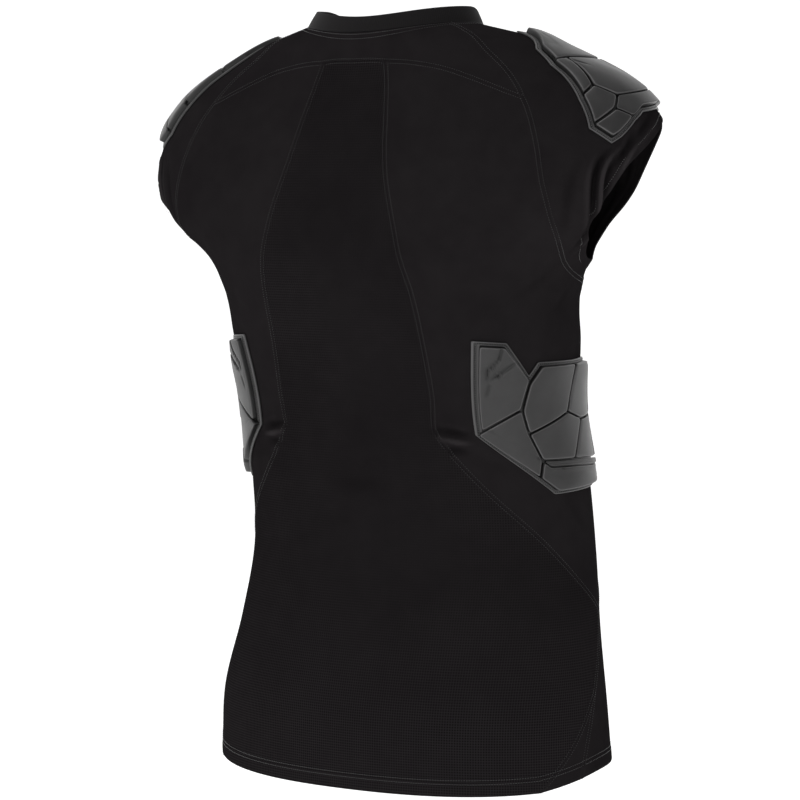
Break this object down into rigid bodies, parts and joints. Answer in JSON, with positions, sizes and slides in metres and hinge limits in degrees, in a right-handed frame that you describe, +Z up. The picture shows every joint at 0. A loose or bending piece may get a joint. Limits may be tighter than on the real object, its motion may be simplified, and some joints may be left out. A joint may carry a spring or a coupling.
{
  "type": "padded compression shirt",
  "caption": "Close-fitting short raglan shirt in stretch knit with a low rib collar and moulded flex pads on the shoulders and ribs.",
  "frame": {"origin": "midway between the shoulders, at the height where the collar meets the shoulders, where the wearer's shoulders hold the shirt", "axes": "+Z up towards the collar, the chest faces -Y, the wearer's left arm is at +X"},
  "size_m": [0.5278, 0.2692, 0.716],
  "materials": {
    "knit_cloth": "smooth stretch knit with a soft sheen",
    "mesh_cloth": "stretch knit with fine eyelets",
    "rib_collar": "fine rib knit",
    "pad_foam": "satin moulded foam"
  },
  "bodies": {
    "root": {"collar": "rib_collar", "back_yoke": "knit_cloth", "back_panel": "mesh_cloth", "front_panel": "knit_cloth", "side_panel_left": "knit_cloth", "side_panel_right": "knit_cloth", "sleeve_left": "knit_cloth", "sleeve_right": "knit_cloth", "hem_gusset_left": "knit_cloth", "hem_gusset_right": "knit_cloth", "shoulder_pad_left": "pad_foam", "shoulder_pad_right": "pad_foam", "rib_pad_left": "pad_foam", "rib_pad_right": "pad_foam"}
  },
  "joints": []
}
